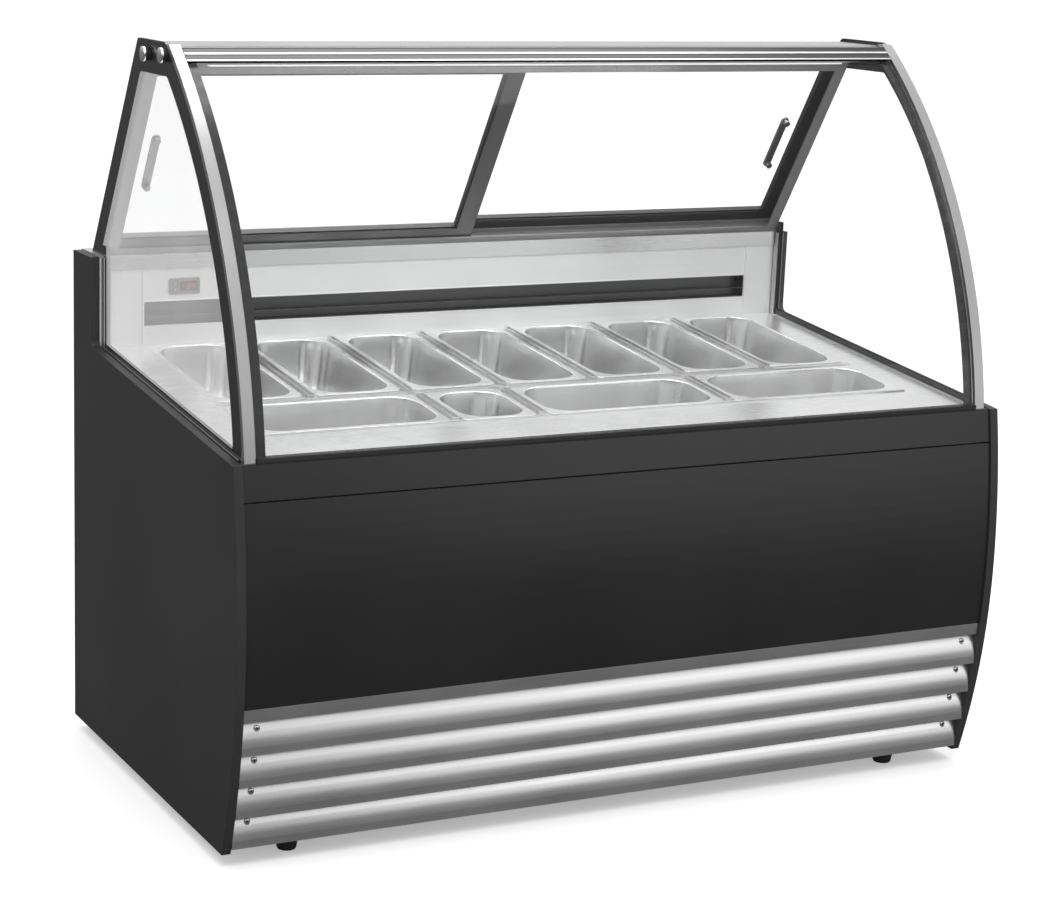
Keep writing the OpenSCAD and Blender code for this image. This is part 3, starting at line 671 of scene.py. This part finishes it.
PANE, OPENING = pane_outline(), print_opening()
BOLT_PLACES = ((77, 1303.4), (-10, 1306.7))     # y, z
BOLT_HOLES = [circle(5.5, 24, y, z) for y, z in BOLT_PLACES]
for side, x, material in (("left", -PANE_X, "glass_end"),
                          ("right", PANE_X - PANE_THICKNESS, "glass")):
    plate(f"{side}_end_pane", [PANE] + BOLT_HOLES, PANE_THICKNESS, shift(x, 0, 0) @ YZ,
          material, edge=0.5, replaces=f"{side}_end_glass",
          side_material="glass_edge")

# the lower x of each print, just clear of the glass: left inner, left outer, right inner, outer
PRINT_X = (-720.98, -727.27, 720.73, 727.02)
join([plate(f"end_print_{i}", [PANE, OPENING] + BOLT_HOLES, 0.25, shift(x, 0, 0) @ YZ,
            "black_print") for i, x in enumerate(PRINT_X)],
     "end_pane_prints", "end_glass_borders")

# ---------------------------------------------------------------- bolts through the end panes
# radius, height: shank, barrel in black paint (a painted dark reflection beside the chrome cap),
# chrome cap
BOLT_PROFILE = [
    (0, -19), (5, -19), (5, 0), (10.4, 0), (11, 0.6), (11, 6.4), (10.6, 7), (12.2, 7),
    (13, 7.8), (13, 10.9), (12.6, 11.6), (11.6, 12), (0, 12),
]
# band 1, the barrel, takes the black foot paint: a painted dark reflection
BOLT_BANDS = [0] * 2 + [1] * 5 + [0] * 5
bolts = []
for side in (-1, 1):
    for y, z in BOLT_PLACES:
        base = shift(side * PANE_X, y, z) @ Matrix.Rotation(side * math.pi / 2, 4, "Y")
        bolts.append(lathe(f"bolt{side}{y}".replace("-", "m"), BOLT_PROFILE, base,
                           ["chrome", "foot"], bands=BOLT_BANDS))
join(bolts, "end_pane_bolts", "glass_bolts")


# ---------------------------------------------------------------- door handles
def handle(name, node, x, depth, height):
    """A flat bar with rounded ends on two bosses with screw caps.
    depth: place square to the door's plane; height: how far it stands out."""
    body = BODY[node]
    reach, half_width, thickness = 52, 8, 3.5       # reach: bosses from the middle
    outward = (DOOR @ shift(x, depth, -246)
               @ Matrix.Rotation(math.radians(-90), 4, "X"))
    outline = [(-half_width, -reach)]
    for start, y in ((180, -reach), (0, reach)):
        for degrees in range(start, start + 181, 12):
            angle = math.radians(degrees)
            outline.append((half_width * math.cos(angle), y + half_width * math.sin(angle)))
    holes = [circle(2.6, 20, 0, y) for y in (reach, -reach)]
    parts = [plate(name + "_bar", [outline] + holes, thickness,
                   outward @ shift(0, 0, height - thickness), "handle", body, edge=0.7)]
    boss = [(0, 0), (6, 0), (6, height - 5.2), (5.4, height - 3.6), (0, height - 3.6)]
    cap = [(0, height - 3.4), (2.5, height - 3.4), (2.5, height - 0.9), (1.6, height - 0.5),
           (0, height - 0.4)]
    for y in (-reach, reach):
        base = outward @ shift(0, y, 0)
        parts.append(lathe(f"{name}_boss{y + 60}", boss, base, ["handle"], body, segments=28))
        parts.append(lathe(f"{name}_cap{y + 60}", cap, base, ["chrome"], body, segments=20))
    join(parts, name, node, body)


handle("left_pull", "left_door_handle", x=-666, depth=-40.5, height=12)
handle("right_pull", "right_door_handle", x=666, depth=-18.5, height=14)

# ---------------------------------------------------------------- screws with a cross-shaped hollow shown as a flat near-black cross on the head (painted shade)
SCREW_HEAD = [
    (2.4, 0), (5.1, 0), (5.5, 0.5), (5.1, 1.35), (4.1, 2.1), (2.6, 2.6), (1.2, 2.78), (0, 2.8),
]
CROSS = [
    (-0.7, -2.6), (0.7, -2.6), (0.7, -0.7), (2.6, -0.7), (2.6, 0.7), (0.7, 0.7),
    (0.7, 2.6), (-0.7, 2.6), (-0.7, 0.7), (-2.6, 0.7), (-2.6, -0.7), (-0.7, -0.7),
]
SCREW_TOP, SCREW_PITCH = 266, 58        # front screws: top of the first row, row spacing


def screw(head_name, cross_name, base, shank):
    profile = [(0, -shank), (2.4, -shank)] + SCREW_HEAD
    # the cross is a thin near-black plate laid on the head, painted shade in place of a cut
    return [lathe(head_name, profile, base, ["screw"], segments=32),
            plate(cross_name, [CROSS], 0.5, base @ shift(0, 0, 2.32), "recess_painted_shade")]


screws = []
for side in (-1, 1):
    for i in range(4):
        top = SCREW_TOP - i * SCREW_PITCH
        base = (shift(side * 706, front_y(top - 40) + 9, top - 13)
                @ Matrix.Rotation(math.pi / 2, 4, "X"))
        screws += screw(f"s{side}_{i}", f"c{side}_{i}", base, shank=21.9)
    for z in (60, 470, 890):
        base = shift(side * 722, 416.6, z) @ Matrix.Rotation(-math.pi / 2, 4, "X")
        screws += screw(f"b{side}_{z}", f"d{side}_{z}", base, shank=1.2)
join(screws, "cross_head_screws", "panel_screws")

# ---------------------------------------------------------------- controller
CONTROL_X, CONTROL_Z = -571.0, 865.0
WINDOW_X = 8                            # window centre, right of the controller's
KEY_Z = 5.5                             # keys above and below the centre


def control_base(y, x=0.0, z=0.0):
    """Front-facing base at y, with x and z from the controller's centre."""
    return shift(CONTROL_X + x, y, CONTROL_Z + z) @ XZ


bezel = plate("ctl_bezel", [
    rounded_rect(60, 30, 3.2, 6), rounded_rect(34, 18, 1.6, 5, WINDOW_X, 0),
    rounded_rect(8, 6.8, 1.0, 4, -18.4, KEY_Z), rounded_rect(8, 6.8, 1.0, 4, -18.4, -KEY_Z),
], 3.1, control_base(316.1), "controller", edge=0.6)
# the controller's box is near-black matt, painting shade into the gaps round the window and keys
box = plate("ctl_box", [rounded_rect(53.5, 23.5, 1.5, 4)], 39, control_base(355.1), "recess_painted_shade")
join([bezel, box], "controller_face", "controller_body")

# seven-segment bars, lettered a to g in the usual way: x, z, width, height
BARS = {
    "a": (0, 5, 5, 1.3), "g": (0, 0, 5, 1.3), "d": (0, -5, 5, 1.3),
    "f": (-3, 2.5, 1.3, 4.2), "b": (3, 2.5, 1.3, 4.2),
    "e": (-3, -2.5, 1.3, 4.2), "c": (3, -2.5, 1.3, 4.2),
}
DIGITS = ("g", "abcdefg", "abcdfg")     # bars shown, left to right
DIGIT_PITCH = 9.5
BAR_SLANT, BAR_SQUEEZE = 0.12, 0.92     # sideways lean and height scale of a digit
display = [plate("ctl_win", [rounded_rect(33.6, 17.6, 1.4, 5, WINDOW_X, 0)], 0.7,
                 control_base(314.0), "window")]
for k, shown in enumerate(DIGITS):
    for letter, (x, z, width, height) in BARS.items():
        if letter in shown:
            bar_x = WINDOW_X + (k - 1) * DIGIT_PITCH + x + z * BAR_SLANT
            bar = rounded_rect(width, height, 0.5, 2, bar_x, z * BAR_SQUEEZE)
            display.append(plate(f"seg{k}_{x + 5}_{z + 5}".replace(".", "_"), [bar], 0.12,
                                 control_base(313.3), "digit"))
join(display, "controller_window", "controller_display")

for name, sign in (("up", 1), ("down", -1)):
    node = f"controller_{name}_button"
    base = control_base(316.4, x=-18.5, z=sign * KEY_Z)
    height = 4.0
    key = plate(f"{name}_k", [rounded_rect(6.9, 5.9, 1.2, 5)], height, base, "controller",
                BODY[node], edge=0.5)
    arrow = [(-1.5, -0.9 * sign), (1.5, -0.9 * sign), (0, 1.2 * sign)]
    mark = plate(f"{name}_t", [arrow], 0.12, base @ shift(0, 0, height), "liner", BODY[node])
    join([key, mark], f"{name}_key", node, BODY[node])

# ---------------------------------------------------------------- levelling feet
FOOT_PAD = [
    (0, 0), (15.2, 0), (16, 0.8), (16.4, 2.4), (17, 3.0), (18.2, 10), (18.0, 10.6),
    (18.0, 11.6), (18.5, 12.2), (19.6, 18), (20, 19), (20, 24), (19.4, 24.9), (5, 25),
]
FOOT_STEM = []
for i in range(20):                     # thread crests and roots
    FOOT_STEM += [(4.95, 25.2 + i * 1.5), (4.3, 25.95 + i * 1.5)]
FOOT_STEM += [(4.2, 56), (0, 56)]
FOOT_BANDS = [0] * (len(FOOT_PAD) - 1) + [1] * len(FOOT_STEM)
for end, y in (("front", -310), ("rear", 393)):
    for side, x in (("left", -612), ("right", 612)):
        node = f"foot_{end}_{side}"
        lathe(f"tread_{node}", FOOT_PAD + FOOT_STEM, shift(x, y, 0), ["foot", "screw"],
              BODY[node], segments=40, replaces=node, bands=FOOT_BANDS)


# ---------------------------------------------------------------- floor, m
def floor(half=40):
    floor_material()
    mesh = bpy.data.meshes.new("floor")
    corners = [(-half, -half, 0), (half, -half, 0), (half, half, 0), (-half, half, 0)]
    mesh.from_pydata(corners, [], [(0, 1, 2, 3)])
    mesh.materials.append(MATERIALS["floor"])
    ground = add_object("floor", mesh)
    ground.visible_glossy = False


floor()

# ---------------------------------------------------------------- world
# grey from straight down (0) to straight up (1): position, value
DIFFUSE_SKY = [(0.0, 0.40), (0.47, 0.42), (0.52, 0.46), (0.62, 0.85), (0.75, 1.0), (1.0, 1.0)]
GLOSSY_SKY = [
    (0.0, 0.10), (0.40, 0.17), (0.48, 0.24), (0.53, 0.55), (0.60, 0.95), (0.80, 1.0),
    (1.0, 0.95),
]


def sky_ramp(g, height, stops):
    ramp = g.node("ValToRGB", {0: height})
    elements = ramp.color_ramp.elements
    for element, (position, value) in zip(elements, (stops[0], stops[-1])):
        element.position = position
        element.color = rgba(value)
    for position, value in stops[1:-1]:
        elements.new(position).color = rgba(value)
    return ramp


def studio():
    """White to the camera; a graded sky for light, with more contrast in reflections."""
    world = bpy.data.worlds.new("studio")
    scene.world = world
    g = NodeGraph(world, output="OutputWorld")
    direction = g.node("TexCoord").outputs["Generated"]
    height = g.node("SeparateXYZ", {0: direction}).outputs["Z"]
    height = g.spread(height, source=(-1, 1))
    ray = g.node("LightPath").outputs
    sky = g.mix(ray["Is Glossy Ray"], sky_ramp(g, height, DIFFUSE_SKY),
                sky_ramp(g, height, GLOSSY_SKY))
    light = g.node("Background", {"Color": sky, "Strength": 0.80})
    backdrop = g.node("Background", {"Color": rgba(1), "Strength": 1.0})
    g.finish(g.mix_shader(ray["Is Camera Ray"], light, backdrop))


studio()


# ---------------------------------------------------------------- lights, m and W
def softbox(name, place, target, size, power):
    light = bpy.data.lights.new(name, "AREA")
    light.shape = "RECTANGLE"
    light.size, light.size_y = size
    light.energy = power
    lamp = add_object(name, light)
    lamp.location = place
    lamp.rotation_mode = "QUATERNION"
    lamp.rotation_quaternion = (Vector(target) - Vector(place)).to_track_quat("-Z", "Y")


softbox("key", place=(-1.6, -2.6, 4.2), target=(0, 0, 0.8), size=(3.0, 2.2), power=70)
softbox("top", place=(0.6, 0.8, 4.6), target=(0, 0, 0.8), size=(3.4, 2.4), power=75)
softbox("front_fill", place=(2.3, -3.9, 0.75), target=(0.2, -0.4, 0.5), size=(2.4, 1.5),
        power=9)
softbox("lamp_glow", place=(0, 0.0, 1.283), target=(0, 0.10, 0.75), size=(1.26, 0.05),
        power=2.5)


# ---------------------------------------------------------------- camera
def camera(place, yaw, pitch, roll, lens, shift_x, shift_y):
    """yaw turns from +Y towards +X, pitch looks down; angles in radians, lens in mm."""
    ahead = Vector((math.sin(yaw) * math.cos(pitch), math.cos(yaw) * math.cos(pitch),
                    -math.sin(pitch)))
    level_right = Vector((math.cos(yaw), -math.sin(yaw), 0))
    level_up = level_right.cross(ahead)
    right = level_right * math.cos(roll) + level_up * math.sin(roll)
    up = -level_right * math.sin(roll) + level_up * math.cos(roll)
    data = bpy.data.cameras.new("camera")
    data.sensor_width = 36
    data.sensor_fit = "HORIZONTAL"
    data.lens = lens
    data.shift_x, data.shift_y = shift_x, shift_y
    data.clip_start, data.clip_end = 0.05, 100
    eye = add_object("camera", data)
    columns = zip(right, up, -ahead, place)
    eye.matrix_world = Matrix((*columns, (0, 0, 0, 1)))
    scene.camera = eye


camera(place=(-2.15351206647, -3.95159749798, 1.56733048324), yaw=0.44363868252,
       pitch=0.23000655621, roll=0.02709079038, lens=85.453278418, shift_x=0.12, shift_y=0.03)
